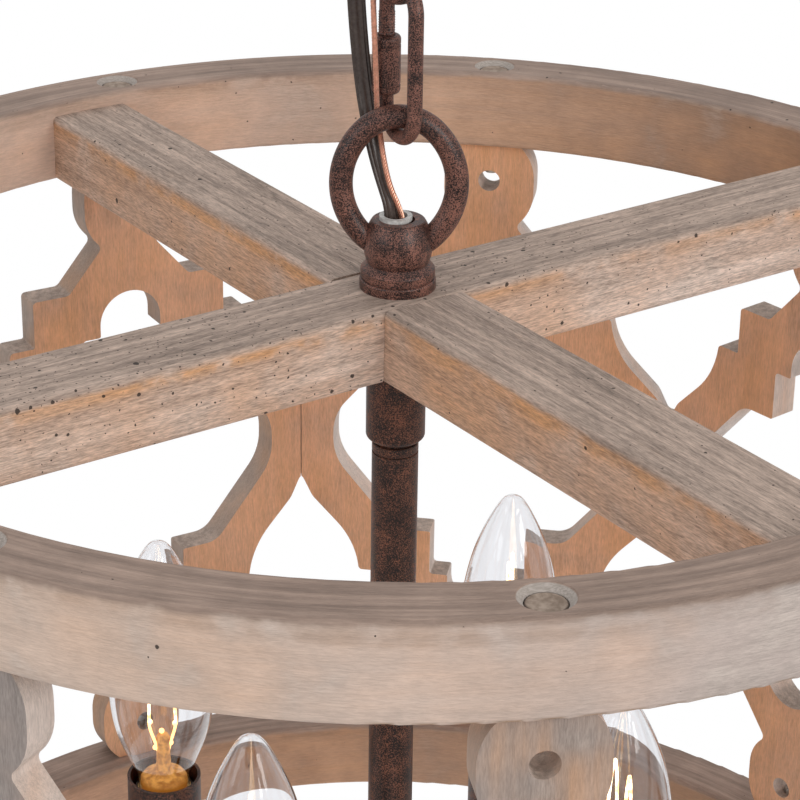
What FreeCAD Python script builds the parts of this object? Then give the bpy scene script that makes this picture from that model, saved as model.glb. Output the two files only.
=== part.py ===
import FreeCAD, Part
import os
from math import cos, sin, tan, acos, atan2, pi, radians, degrees

# Drum chandelier: a wooden drum of nine fretwork boards between two hoops, hung on a cross of two
# beams from a cast loop, a quick link and one chain link, with four candle lamps inside.
# Millimetres, +Z up, origin at the middle of the canopy's ceiling face.
# X runs to the viewer's right and Y away from the viewer.

V = FreeCAD.Vector

# Fits and gaps
chain_gap = 0.3
slide_gap = 0.1
free_gap = 0.3
seam_gap = 0.3
quarter_turn = 90.0

# Hoops
hoop_radius = 210.0
hoop_width = 20.0
hoop_height = 28.0
hoop_round = 1.6

# Fretwork boards
board_count = 9
first_board_angle = 0.4
board_height = 248.0
board_thickness = 11.0
# The outline's sizes are drawn from the board's middle, and stretched with the drum's width and height.
neck_half = 10.3
neck_rise = 92.2
neck_round = 2.5
lobe_half = 16.6
lobe_start = 6.8
lobe_finish = 25.5
lobe_round = 17.0
lobe_length = 31.8
lobe_end_half = 9.5
lobe_trim = 1.0
sight_hole_radius = 4.0
sight_hole_up = 17.3
ogee_half = 24.0
ogee_round = 3.0
upper_step_half = 38.0
upper_step_rise = 76.0
lower_step_half = 47.5
lower_step_rise = 58.0
gap_bend_half = 49.3
gap_bend_rise = 45.3
gap_side_round = 33.0
gap_waist_in = 6.5
gap_waist_rise = 27.3
gap_waist_round = 9.0
gap_tip_in = 2.3
gap_tip_rise = 18.6
gap_tip_round = 3.0
seam_half = 72.794
arch_radius = 12.0
arch_rise = 61.5
arch_foot_rise = 57.0
inner_step_half = 19.2
inner_step_rise = 38.4
eye_top_half = 33.5
eye_top_round = 9.0
eye_half = 58.0
eye_side_rise = 9.0
eye_side_round = 21.0
step_round = 1.5

# Board screws and the wooden buttons over them
button_radius = 5.3
button_length = 3.6
button_sink = 1.7
button_gap = 0.15
button_round = 0.8
countersink_radius = 7.5
countersink_depth = 2.0
screw_head_radius = 4.4
screw_head_height = 3.2
screw_radius = 2.2
screw_tip_reach = 2.2

# Cross beams and their dowels
beam_angle = 35.1
beam_width = 29.0
beam_sink = 5.0
beam_height = 23.0
beam_round = 1.8
dowel_radius = 3.0
dowel_length = 26.0
dowel_in_hoop = 12.0
dowel_spread = 13.0

# Canopy, crossbar and the loop under the canopy
canopy_radius = 62.5
canopy_height = 25.0
canopy_wall = 1.4
canopy_flat_radius = 34.0
canopy_shoulder_radius = 48.0
canopy_shoulder_rise = 9.0
canopy_lip_height = 5.0
crossbar_length = 106.0
crossbar_width = 18.0
crossbar_thickness = 2.5
crossbar_round = 5.4
crossbar_hole_pitch = 88.9
crossbar_hole_radius = 2.4
locknut_across = 16.0
locknut_height = 4.0
nipple_radius = 5.0
canopy_eye_radius = 12.0
canopy_eye_wire = 6.0
canopy_eye_drop = 19.0
canopy_flange_radius = 11.0
canopy_flange_height = 4.0
canopy_flange_round = 1.6
canopy_neck_radius = 7.0

# Chain link and quick link
link_wire = 4.5
link_length = 46.0
link_pitch = 15.5
quick_length = 51.0
quick_pitch = 17.5
quick_turn = -61.3
quick_gap_length = 5.5
quick_gap_rise = 15.0
barrel_radius = 4.2
barrel_length = 17.5
barrel_rise = 13.0
barrel_round = 1.2
barrel_groove_inset = 2.4
barrel_groove_width = 0.7
barrel_groove_depth = 0.3

# Hanging loop on the cross: an oval ring of four arcs on a flanged foot with a round head
eye_half_width = 17.0
eye_half_height = 20.6
eye_bow = 14.5
eye_wire = 7.0
eye_rise = 32.3
bead_radius = 11.4
bead_height = 3.1
groove_radius = 10.6
groove_width = 0.6
flange_radius = 11.1
flange_height = 5.9
waist_radius = 9.2
waist_rise = 7.9
head_radius = 10.1
head_rise = 15.2
crown_radius = 7.8
crown_rise = 21.2
crown_bore = 4.9
loop_round = 0.65

# Cord bushings
bushing_radius = 4.0
bushing_bore = 3.5
bushing_lip_radius = 4.9
bushing_lip_height = 1.2
bushing_length = 9.0
bushing_x = -0.8
canopy_bushing_radius = 6.6
canopy_bushing_bore = 5.9
canopy_bushing_lip_radius = 8.4
canopy_bushing_lip_height = 2.4
canopy_bushing_length = 6.0
canopy_bushing_x = -13.5
canopy_bushing_y = 16.0

# Stem and hub
rod_radius = 6.2
rod_bore = 5.0
rod_into_loop = 11.0
rod_into_collar = 18.0
collar_radius = 9.05
collar_length = 26.8
collar_round = 1.6
collar_bore = 5.2
stem_radius = 7.15
stem_wall = 1.7
stem_into_collar = 8.0
stem_neck_depth = 0.85
stem_neck_width = 1.3
stem_shoulder_round = 0.5
stem_line_depth = 0.3
stem_line_width = 0.6
stem_line_drop = 4.0
hub_top_drop = 246.0
hub_cap_top_radius = 12.0
hub_cap_rim = 2.0
hub_cap_height = 6.0
hub_radius = 22.0
hub_height = 24.0
hub_floor_radius = 12.0
hub_shoulder_rise = 8.5
hub_round = 2.0
hub_wall = 2.0
stem_into_hub = 8.0
hub_nut_across = 20.0
hub_nut_height = 4.0
finial_radius = 8.0
finial_length = 20.0
finial_collar_radius = 7.2
finial_collar_height = 3.0
finial_neck_radius = 4.4
finial_neck_drop = 6.0
finial_ball_drop = 11.0
finial_tip_radius = 5.6
finial_tip_rise = 3.0
finial_stud_radius = 3.0
finial_stud_length = 7.0

# Lamps
lamp_angles = [62.6, 152.6, 242.6, 322.5]
lamp_radius = 87.4
arm_radius = 4.5
arm_bore = 3.0
arm_inset = 11.0
arm_bend = 13.0
arm_into_holder = 9.0
arm_seat_radius = 8.5
arm_seat_height = 3.0
sleeve_radius = 12.5
sleeve_wall = 1.0
sleeve_floor = 2.0
sleeve_length = 46.0
holder_radius = 10.0
holder_bore = 6.4
holder_floor = 18.0
holder_sink = 5.0
cap_radius = 6.0
cap_length = 17.0
cap_chamfer = 1.0
skirt_radius = 9.0
skirt_lift = 0.2
skirt_height = 0.8
plug_height = 2.0
contact_radius = 2.2
contact_height = 2.0
glass_neck_radius = 8.8
glass_radius = 17.8
glass_length = 94.0
glass_wall = 0.9
glass_neck_share = 0.043
mount_radius = 2.2
mount_height = 20.0
filament_radius = 0.6
filament_height = 22.0
filament_half_width = 5.0
filament_peak = 4.0
filament_foot = 2.0

# Supply cord and ground wire, in three stretches each: along the chain link, along the quick link and
# into the loop. Points are relative to the hoop's top face, with X and Y from the drum's axis.
cord_width = 4.4
cord_thickness = 2.6
ground_diameter = 1.5
cord_route = [
    (-15.5, 16.0, 158.0), (-15.5, 16.0, 140.0), (-14.9, 15.8, 121.0), (-14.2, 15.2, 101.0),
    (-13.4, 14.0, 81.0), (-12.0, 12.6, 64.0), (-10.0, 9.8, 49.0), (-7.4, 5.3, 36.5),
    (-4.6, 2.0, 27.0), (-1.9, 0.0, 19.5), (-1.8, 0.0, 10.0), (-1.8, 0.0, -2.0),
]
ground_route = [
    (-11.0, 19.0, 158.0), (-11.0, 19.0, 141.0), (-10.0, 16.2, 122.0), (-8.9, 10.6, 102.0),
    (-8.3, 5.0, 84.0), (-7.6, 2.6, 70.0), (-7.0, 2.0, 58.0), (-6.8, 4.5, 48.0), (-5.8, 4.6, 41.5),
    (-4.6, 1.6, 34.0), (-2.6, -1.4, 26.5), (0.2, -1.9, 20.5), (1.3, -0.6, 15.5), (1.3, 0.0, 8.0),
    (1.5, 0.0, -2.0),
]
upper_cut = 104.0
lower_cut = 62.0
cut_width = 200.0
cut_height = 400.0
bend_share = 0.45

# Heights that follow from the chain, downwards from the ceiling
board_angles = [first_board_angle + 360.0 * i / board_count for i in range(board_count)]
canopy_floor = -canopy_height
canopy_eye_z = canopy_floor - canopy_eye_drop
canopy_pivot_z = canopy_eye_z - canopy_eye_radius
link_top = canopy_pivot_z + canopy_eye_wire / 2 + chain_gap + link_wire
link_bottom = link_top - link_length
link_pivot_z = link_bottom + link_wire / 2
quick_top = link_bottom + link_wire + chain_gap + link_wire
quick_bottom = quick_top - quick_length
quick_pivot_z = quick_bottom + link_wire / 2
eye_z = quick_bottom + link_wire + chain_gap - (eye_half_height - eye_wire / 2)
loop_seat = eye_z - eye_rise
hoop_top = loop_seat + beam_sink
hoop_bottom = hoop_top - hoop_height
board_mid_z = hoop_bottom - board_height / 2
low_hoop_top = hoop_bottom - board_height
low_hoop_bottom = low_hoop_top - hoop_height
hoop_inner = hoop_radius - hoop_width
board_mid_radius = hoop_radius - hoop_width / 2
board_inner = board_mid_radius - board_thickness / 2
board_outer = board_mid_radius + board_thickness / 2
half_pitch = 180.0 / board_count
outline_wide = board_mid_radius * tan(radians(half_pitch)) / seam_half
outline_high = board_height / 2 / (neck_rise + lobe_length)
outline_least = min(outline_wide, outline_high)
sight_rise = (neck_rise + sight_hole_up) * outline_high
beam_top = loop_seat
beam_bottom = beam_top - beam_height


# Basic solids

def rod(radius, low, high, x=0.0, y=0.0):
    return Part.makeCylinder(radius, high - low, V(x, y, low))


def tube(radius, bore, low, high, x=0.0, y=0.0):
    return rod(radius, low, high, x, y).cut(rod(bore, low - 1, high + 1, x, y))


def turned(profile):
    points = [V(r, 0, z) for r, z in profile]
    face = Part.Face(Part.makePolygon(points + points[:1]))
    return face.revolve(V(0, 0, 0), V(0, 0, 1), 360)


def hexagon(across, low, high, bore):
    radius = across / 2 / cos(radians(30))
    points = [V(radius * cos(radians(60 * i)), radius * sin(radians(60 * i)), low) for i in range(7)]
    prism = Part.Face(Part.makePolygon(points)).extrude(V(0, 0, high - low))
    return prism.cut(rod(bore, low - 1, high + 1))


def box(size_x, size_y, low, high):
    return Part.makeBox(size_x, size_y, high - low, V(-size_x / 2, -size_y / 2, low))


def spun(shape, angle, centre=V(0, 0, 0)):
    copy = shape.copy()
    copy.rotate(centre, V(0, 0, 1), angle)
    return copy


def moved(shape, x, y, z=0.0):
    copy = shape.copy()
    copy.translate(V(x, y, z))
    return copy


def circles_at(shape, z):
    # The round edges of a solid at one height.
    return [e for e in shape.Edges if e.Closed and abs(e.BoundBox.Center.z - z) < 0.01]


def polar(radius, angle):
    return radius * cos(radians(angle)), radius * sin(radians(angle))


def ring_wire(radius, wire, z, angle):
    # A round-wire ring standing upright, its plane turned by the angle.
    ring = Part.makeTorus(radius, wire / 2, V(0, 0, z), V(0, 1, 0))
    return spun(ring, angle, V(0, 0, z))


def oval_ring(half_width, half_height, bow, wire, z):
    # A round-wire ring standing upright: two bows joined by two flatter side arcs.
    side = ((half_height - bow) ** 2 + half_width ** 2 - bow ** 2) / (2 * (half_width - bow))
    turn = degrees(atan2(half_height - bow, side - half_width))
    arcs = []
    for centre, radius, start, sweep in (
        (V(0, 0, z + half_height - bow), bow, turn, 180 - 2 * turn),
        (V(half_width - side, 0, z), side, -turn, 2 * turn),
    ):
        face = Part.Face(Part.Wire(Part.makeCircle(wire / 2, centre + V(radius, 0, 0), V(0, 0, 1))))
        face.rotate(centre, V(0, -1, 0), start)
        arc = face.revolve(centre, V(0, -1, 0), sweep)
        opposite = arc.copy()
        opposite.rotate(V(0, 0, z), V(0, 1, 0), 180)
        arcs += [arc, opposite]
    return arcs[0].fuse(arcs[1:]).removeSplitter()


def link(length, pitch, wire, top, angle):
    # A welded oval link: two legs and two half-round bows.
    bow = pitch / 2
    high = top - wire / 2 - bow
    low = top - length + wire / 2 + bow
    legs = [rod(wire / 2, low, high, side * bow) for side in (-1, 1)]
    bows = []
    for z, sweep in ((high, -180), (low, 180)):
        circle = Part.makeCircle(wire / 2, V(bow, 0, z), V(0, 0, 1))
        face = Part.Face(Part.Wire(circle))
        bows.append(face.revolve(V(0, 0, z), V(0, 1, 0), sweep))
    solid = legs[0].fuse(legs[1:] + bows).removeSplitter()
    return spun(solid, angle)


# Outlines with rounded corners

def rounded_face(corners, place):
    # Corners are (a, b, radius); place puts a point of the outline into space.
    spans = []
    count = len(corners)
    for i, (a, b, radius) in enumerate(corners):
        before = corners[i - 1]
        after = corners[(i + 1) % count]
        to_before = V(before[0] - a, before[1] - b, 0).normalize()
        to_after = V(after[0] - a, after[1] - b, 0).normalize()
        if radius == 0:
            spans.append((V(a, b, 0), None, V(a, b, 0)))
            continue
        half = acos(max(-1.0, min(1.0, to_before.dot(to_after)))) / 2
        reach = radius / tan(half)
        inward = (to_before + to_after).normalize()
        middle = V(a, b, 0) + inward * (radius / sin(half) - radius)
        spans.append((V(a, b, 0) + to_before * reach, middle, V(a, b, 0) + to_after * reach))
    edges = []
    for i, (start, middle, end) in enumerate(spans):
        if middle is not None:
            arc = Part.Arc(place(start.x, start.y), place(middle.x, middle.y), place(end.x, end.y))
            edges.append(arc.toShape())
        following = spans[(i + 1) % count][0]
        edges.append(Part.LineSegment(place(end.x, end.y), place(following.x, following.y)).toShape())
    return Part.Face(Part.Wire(edges))


def four_quarters(quarter):
    lower = [(a, -b, r) for a, b, r in reversed(quarter)]
    right = quarter + lower
    left = [(-a, b, r) for a, b, r in reversed(right)]
    return right + left


# Hoops, with the countersunk holes for the screws and buttons

def hoop(low, high, outside, step):
    body = tube(hoop_radius, hoop_inner, low, high)
    body = body.makeFillet(hoop_round, [e for e in body.Edges if e.Curve.TypeId == "Part::GeomCircle"])
    drills = []
    for angle in board_angles:
        x, y = polar(board_mid_radius, angle)
        above = V(x, y, outside + step)
        wide = countersink_radius + 1
        narrow = countersink_radius - countersink_depth
        drills.append(Part.makeCone(wide, narrow, countersink_depth + 1, above, V(0, 0, -step)))
        for radius, depth in (
            (button_radius + button_gap, button_sink + button_length + screw_head_height),
            (screw_radius + slide_gap, hoop_height + 1),
        ):
            drills.append(Part.makeCylinder(radius, depth + 1, above, V(0, 0, -step)))
    return body.cut(drills)


def buttons():
    made = []
    for outside, step in ((hoop_top, 1), (low_hoop_bottom, -1)):
        for angle in board_angles:
            x, y = polar(board_mid_radius, angle)
            top = outside - step * button_sink
            plug = Part.makeCylinder(button_radius, button_length, V(x, y, top), V(0, 0, -step))
            made.append(plug.makeFillet(button_round, circles_at(plug, top)))
    return Part.makeCompound(made)


def board_screws():
    length = hoop_height - button_sink - button_length + board_height / 2
    length += screw_tip_reach - sight_rise - sight_hole_radius
    made = []
    for outside, step in ((hoop_top, 1), (low_hoop_bottom, -1)):
        for angle in board_angles:
            x, y = polar(board_mid_radius, angle)
            seat = V(x, y, outside - step * (button_sink + button_length))
            head = Part.makeCylinder(screw_head_radius, screw_head_height, seat, V(0, 0, -step))
            shank = Part.makeCylinder(screw_radius, length, seat, V(0, 0, -step))
            made.append(head.fuse(shank).removeSplitter())
    return Part.makeCompound(made)


# One fretwork board, facing +X

def board():
    def place(a, b):
        return V(board_inner, a, board_mid_z + b)

    def stretched(corners):
        return [(a * outline_wide, b * outline_high, r * outline_least) for a, b, r in four_quarters(corners)]

    def drill(radius, rise):
        return Part.makeCylinder(radius, board_thickness, place(0, rise), V(1, 0, 0))

    past_seam = seam_half + board_thickness * tan(radians(half_pitch))
    outline = stretched([
        (lobe_end_half, neck_rise + lobe_length + lobe_trim, 0),
        (lobe_half, neck_rise + lobe_finish, lobe_round),
        (lobe_half, neck_rise + lobe_start, lobe_round),
        (neck_half, neck_rise, neck_round),
        (ogee_half, upper_step_rise, ogee_round),
        (upper_step_half, upper_step_rise, step_round),
        (upper_step_half, lower_step_rise, step_round / 2),
        (lower_step_half, lower_step_rise, step_round),
        (gap_bend_half, gap_bend_rise, gap_side_round),
        (seam_half - gap_waist_in, gap_waist_rise, gap_waist_round),
        (seam_half - gap_tip_in, gap_tip_rise, gap_tip_round),
        (past_seam, gap_tip_rise, 0),
    ])
    eye = stretched([
        (arch_radius, arch_rise, 0),
        (arch_radius, arch_foot_rise, step_round / 2),
        (inner_step_half, arch_foot_rise, step_round),
        (inner_step_half, inner_step_rise, step_round / 2),
        (eye_top_half, inner_step_rise, eye_top_round),
        (eye_half, eye_side_rise, eye_side_round),
    ])
    through = V(board_thickness, 0, 0)
    solid = rounded_face(outline, place).extrude(through)
    drills = [rounded_face(eye, place).extrude(through)]
    for side in (-1, 1):
        drills.append(drill(arch_radius * outline_wide, side * arch_rise * outline_high))
        drills.append(drill(sight_hole_radius, side * sight_rise))
    pilot = screw_radius + slide_gap
    drills.append(rod(pilot, board_mid_z + sight_rise, hoop_bottom + 1, board_mid_radius))
    drills.append(rod(pilot, low_hoop_top - 1, board_mid_z - sight_rise, board_mid_radius))
    solid = solid.cut(drills)
    # The board's ends are cut square under the hoops, and its sides are mitred against its neighbours.
    reach = 2 * board_outer
    side = reach * tan(radians(half_pitch))
    tip = seam_gap / 2 / sin(radians(half_pitch))
    far = tip + reach
    corners = [V(tip, 0, low_hoop_top), V(far, side, low_hoop_top), V(far, -side, low_hoop_top)]
    wedge = Part.Face(Part.makePolygon(corners + corners[:1])).extrude(V(0, 0, board_height))
    return solid.common(wedge).removeSplitter()


# Cross beams, half-lapped at the middle

def beam(angle, notch_low, notch_high):
    bar = box(2 * hoop_inner, beam_width, beam_bottom, beam_top)
    long_edges = [e for e in bar.Edges if e.BoundBox.XLength > hoop_inner]
    bar = bar.makeFillet(beam_round, long_edges)
    notch = box(beam_width + 2 * slide_gap, beam_width + 2, notch_low, notch_high)
    bar = bar.cut([notch, rod(rod_radius + slide_gap, beam_bottom - 1, beam_top + 1)])
    bar = bar.common(rod(hoop_inner - slide_gap, beam_bottom - 1, beam_top + 1))
    return spun(bar, angle).cut(dowels(slide_gap))


def dowels(extra=0.0):
    made = []
    middle = (beam_bottom + beam_top) / 2
    start = hoop_inner + dowel_in_hoop - dowel_length
    for turn in range(4):
        for side in (-1, 1):
            pin = Part.makeCylinder(
                dowel_radius + extra,
                dowel_length + 2 * extra,
                V(start - extra, side * dowel_spread / 2, middle),
                V(1, 0, 0),
            )
            made.append(spun(pin, beam_angle + quarter_turn * turn))
    return Part.makeCompound(made)


# Ceiling fitting

def canopy():
    outer = [
        (canopy_radius, 0), (canopy_radius, -canopy_lip_height),
        (canopy_shoulder_radius, canopy_floor + canopy_shoulder_rise), (canopy_flat_radius, canopy_floor),
        (0, canopy_floor),
    ]
    inner = [(r - canopy_wall if r else 0, z + canopy_wall if z else 0) for r, z in reversed(outer)]
    shell = turned(outer + inner)
    high = canopy_floor + canopy_wall + 1
    hole = rod(canopy_bushing_radius + slide_gap, canopy_floor - 1, high)
    hole = moved(hole, canopy_bushing_x, canopy_bushing_y)
    return shell.cut([hole, rod(nipple_radius + slide_gap, canopy_floor - 1, high)])


def canopy_bushing():
    low = canopy_floor - canopy_bushing_lip_height
    high = canopy_floor + canopy_bushing_length
    lip = rod(canopy_bushing_lip_radius, low, canopy_floor)
    lip = lip.makeFillet(canopy_bushing_lip_height / 2, circles_at(lip, low))
    body = rod(canopy_bushing_radius, canopy_floor, high)
    solid = lip.fuse(body).cut(rod(canopy_bushing_bore, low - 1, high + 1))
    return moved(solid.removeSplitter(), canopy_bushing_x, canopy_bushing_y)


def canopy_loop():
    flange = rod(canopy_flange_radius, canopy_floor - canopy_flange_height, canopy_floor)
    flange = flange.makeFillet(canopy_flange_round, [e for e in flange.Edges if e.Closed])
    middle = canopy_floor - canopy_flange_height / 2
    neck = rod(canopy_neck_radius, canopy_eye_z + canopy_eye_radius, middle)
    nipple = rod(nipple_radius, middle, -crossbar_thickness / 2)
    ring = ring_wire(canopy_eye_radius, canopy_eye_wire, canopy_eye_z, quick_turn)
    return flange.fuse([neck, nipple, ring]).removeSplitter()


def crossbar():
    bar = box(crossbar_length, crossbar_width, -crossbar_thickness, 0)
    corners = [e for e in bar.Edges if e.BoundBox.ZLength > crossbar_thickness / 2]
    bar = bar.makeFillet(crossbar_round, corners)
    drills = [rod(nipple_radius + slide_gap, -crossbar_thickness - 1, 1)]
    for side in (-1, 1):
        drills.append(rod(crossbar_hole_radius, -crossbar_thickness - 1, 1, side * crossbar_hole_pitch / 2))
    return bar.cut(drills)


# Quick link with its gap, and the barrel nut that closes it

def quick_link():
    solid = link(quick_length, quick_pitch, link_wire, quick_top, 0)
    low = quick_bottom + quick_gap_rise
    opening = Part.makeBox(2 * link_wire, 2 * link_wire, quick_gap_length,
                           V(-quick_pitch / 2 - link_wire, -link_wire, low))
    return spun(solid.cut(opening), quick_turn)


def barrel_nut():
    low = quick_bottom + barrel_rise
    high = low + barrel_length
    x = -quick_pitch / 2
    body = rod(barrel_radius, low, high, x)
    body = body.makeFillet(barrel_round, [e for e in body.Edges if e.Closed])
    cuts = [rod(link_wire / 2 + free_gap, low - 1, high + 1, x)]
    for start in (low + barrel_groove_inset, high - barrel_groove_inset - barrel_groove_width):
        floor = barrel_radius - barrel_groove_depth
        cuts.append(tube(barrel_radius + 1, floor, start, start + barrel_groove_width, x))
    return spun(body.cut(cuts), quick_turn)


# Hanging loop, rod and stem

def hanging_loop():
    def at(radius, rise):
        return V(radius, 0, loop_seat + rise)

    groove_top = bead_height + groove_width
    foot = Part.makePolygon([
        at(0, crown_rise), at(0, 0), at(bead_radius, 0), at(bead_radius, bead_height),
        at(groove_radius, bead_height), at(groove_radius, groove_top), at(flange_radius, groove_top),
        at(flange_radius, flange_height), at(waist_radius, waist_rise),
    ])
    head = Part.Arc(at(waist_radius, waist_rise), at(head_radius, head_rise), at(crown_radius, crown_rise))
    crown = Part.LineSegment(at(crown_radius, crown_rise), at(0, crown_rise))
    face = Part.Face(Part.Wire(foot.Edges + [head.toShape(), crown.toShape()]))
    body = face.revolve(V(0, 0, 0), V(0, 0, 1), 360)
    rims = circles_at(body, loop_seat + bead_height) + circles_at(body, loop_seat + flange_height)
    rims = [e for e in rims if e.Curve.Radius > groove_radius + 0.1]
    body = body.makeFillet(loop_round, rims + circles_at(body, loop_seat + crown_rise))
    ring = oval_ring(eye_half_width, eye_half_height, eye_bow, eye_wire, eye_z)
    socket = rod(rod_radius + slide_gap, loop_seat - 1, loop_seat + rod_into_loop)
    bore = rod(crown_bore, loop_seat, eye_z)
    return body.fuse(ring).cut([socket, bore]).removeSplitter()


def loop_bushing():
    seat = loop_seat + crown_rise
    high = seat + bushing_lip_height
    low = high - bushing_length
    solid = rod(bushing_lip_radius, seat, high).fuse(rod(bushing_radius, low, seat))
    solid = solid.cut(rod(bushing_bore, low - 1, high + 1))
    return moved(solid.removeSplitter(), bushing_x, 0)


collar_bottom = beam_bottom - collar_length
stem_top = collar_bottom + stem_into_collar
hub_top = hoop_top - hub_top_drop
hub_cap_bottom = hub_top - hub_cap_height
hub_bottom = hub_cap_bottom - hub_height
stem_bottom = hub_cap_bottom - stem_into_hub
arm_z = hub_cap_bottom - arm_inset


def stem_collar():
    body = rod(collar_radius, collar_bottom, beam_bottom)
    body = body.makeFillet(collar_round, circles_at(body, collar_bottom))
    socket = rod(rod_radius + slide_gap, beam_bottom - rod_into_collar, beam_bottom + 1)
    bore = rod(collar_bore, collar_bottom - 1, beam_bottom)
    seat = rod(stem_radius + slide_gap, collar_bottom - 1, stem_top)
    return body.cut([socket, bore, seat])


def stem_tube():
    body = tube(stem_radius, stem_radius - stem_wall, stem_bottom, stem_top)
    shoulder = collar_bottom - stem_neck_width
    line = collar_bottom - stem_line_drop
    neck = tube(stem_radius + 1, stem_radius - stem_neck_depth, shoulder, collar_bottom)
    ring = tube(stem_radius + 1, stem_radius - stem_line_depth, line - stem_line_width, line)
    body = body.cut([neck, ring])
    rim = [e for e in circles_at(body, shoulder) if abs(e.Curve.Radius - stem_radius) < 0.01]
    return body.makeFillet(stem_shoulder_round, rim)


def threaded_rod():
    return tube(rod_radius, rod_bore, beam_bottom - rod_into_collar, loop_seat + rod_into_loop)


# Hub and finial

def arm_holes():
    drill = Part.makeCylinder(arm_radius + slide_gap, hub_radius * 2, V(0, 0, arm_z), V(1, 0, 0))
    return [spun(drill, angle) for angle in lamp_angles]


def lamp_hub():
    low = hub_bottom
    outer = [
        (0, low), (hub_floor_radius, low), (hub_radius, low + hub_shoulder_rise),
        (hub_radius, hub_cap_bottom), (0, hub_cap_bottom),
    ]
    body = turned(outer)
    rims = [e for e in body.Edges if e.Closed and e.BoundBox.Center.z < hub_cap_bottom - 1]
    body = body.makeFillet(hub_round, rims)
    inner = turned([
        (0, low + hub_wall), (hub_floor_radius - hub_wall / 2, low + hub_wall),
        (hub_radius - hub_wall, low + hub_shoulder_rise + hub_wall / 2),
        (hub_radius - hub_wall, hub_cap_bottom + 1), (0, hub_cap_bottom + 1),
    ])
    return body.cut([inner, rod(finial_stud_radius + slide_gap, low - 1, low + hub_wall + 1)] + arm_holes())


def hub_cap():
    bore = stem_radius + slide_gap
    return turned([
        (bore, hub_cap_bottom), (hub_radius, hub_cap_bottom), (hub_radius, hub_cap_bottom + hub_cap_rim),
        (hub_cap_top_radius, hub_top), (bore, hub_top),
    ])


def hub_nut():
    high = hub_cap_bottom - slide_gap
    return hexagon(hub_nut_across, high - hub_nut_height, high, stem_radius + slide_gap)


def finial():
    low = hub_bottom - finial_length
    return turned([
        (0, hub_bottom + finial_stud_length), (finial_stud_radius, hub_bottom + finial_stud_length),
        (finial_stud_radius, hub_bottom), (finial_collar_radius, hub_bottom),
        (finial_collar_radius, hub_bottom - finial_collar_height),
        (finial_neck_radius, hub_bottom - finial_neck_drop), (finial_radius, hub_bottom - finial_ball_drop),
        (finial_tip_radius, low + finial_tip_rise), (0, low),
    ])


# Lamps, built at their place on the +X side and turned to each angle

sleeve_bottom = arm_z + arm_bend
sleeve_top = sleeve_bottom + sleeve_length
holder_bottom = sleeve_bottom + sleeve_floor
holder_top = sleeve_top - holder_sink
skirt_bottom = holder_top + skirt_lift
glass_bottom = skirt_bottom + skirt_height
cap_top = glass_bottom + plug_height


def lamp_arm():
    start = V(hub_radius - hub_wall - 1, 0, arm_z)
    bend = V(lamp_radius - arm_bend, 0, arm_z)
    half_turn = arm_bend * sin(radians(45))
    turn = V(lamp_radius - arm_bend + half_turn, 0, arm_z + arm_bend - half_turn)
    rise = V(lamp_radius, 0, arm_z + arm_bend)
    end = V(lamp_radius, 0, holder_bottom + arm_into_holder)
    path = Part.Wire([
        Part.LineSegment(start, bend).toShape(), Part.Arc(bend, turn, rise).toShape(),
        Part.LineSegment(rise, end).toShape(),
    ])
    solids = []
    for radius in (arm_radius, arm_bore):
        section = Part.Wire(Part.makeCircle(radius, start, V(1, 0, 0)))
        solids.append(path.makePipeShell([section], True, False))
    seat = tube(arm_seat_radius, arm_bore, sleeve_bottom - arm_seat_height, sleeve_bottom, lamp_radius)
    return solids[0].fuse(seat).cut(solids[1]).removeSplitter()


def candle_sleeve():
    shell = tube(sleeve_radius, sleeve_radius - sleeve_wall, sleeve_bottom, sleeve_top, lamp_radius)
    floor = tube(sleeve_radius, arm_radius + slide_gap, sleeve_bottom, holder_bottom, lamp_radius)
    return shell.fuse(floor).removeSplitter()


def lampholder():
    body = tube(holder_radius, holder_bore, holder_bottom, holder_top, lamp_radius)
    plug = rod(holder_radius, holder_bottom, holder_bottom + holder_floor, lamp_radius)
    socket = rod(arm_radius + slide_gap, holder_bottom - 1, holder_bottom + arm_into_holder, lamp_radius)
    return body.fuse(plug).cut(socket).removeSplitter()


def glass_solid(neck, radius, length):
    # The torpedo's outline: a straight neck, then arcs through (radius, height) shares of its size.
    shares = [
        (0.573, 0.09), (0.685, 0.138), (0.899, 0.25), (1.0, 0.383), (0.969, 0.527), (0.871, 0.66),
        (0.742, 0.766), (0.562, 0.856), (0.399, 0.92), (0.202, 0.979),
    ]
    top = V(0, 0, glass_bottom + length)
    points = [V(neck, 0, glass_bottom + length * glass_neck_share)]
    points += [V(wide * radius, 0, glass_bottom + high * length) for wide, high in shares]
    # The tip is part of a ball centred on the axis.
    drop = top.z - points[-1].z
    ball = (points[-1].x ** 2 + drop ** 2) / (2 * drop)
    half = acos((ball - drop) / ball) / 2
    points += [V(ball * sin(half), 0, top.z - ball + ball * cos(half)), top]
    arcs = [Part.Arc(*points[i:i + 3]).toShape() for i in range(0, len(points) - 2, 2)]
    foot = Part.makePolygon([top, V(0, 0, glass_bottom), V(neck, 0, glass_bottom), points[0]])
    face = Part.Face(Part.Wire(foot.Edges + arcs))
    return face.revolve(V(0, 0, 0), V(0, 0, 1), 360)


def bulb_glass():
    outside = glass_solid(glass_neck_radius, glass_radius, glass_length)
    inside = glass_solid(glass_neck_radius - glass_wall, glass_radius - glass_wall, glass_length - glass_wall)
    return moved(outside.cut(inside), lamp_radius, 0)


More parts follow.
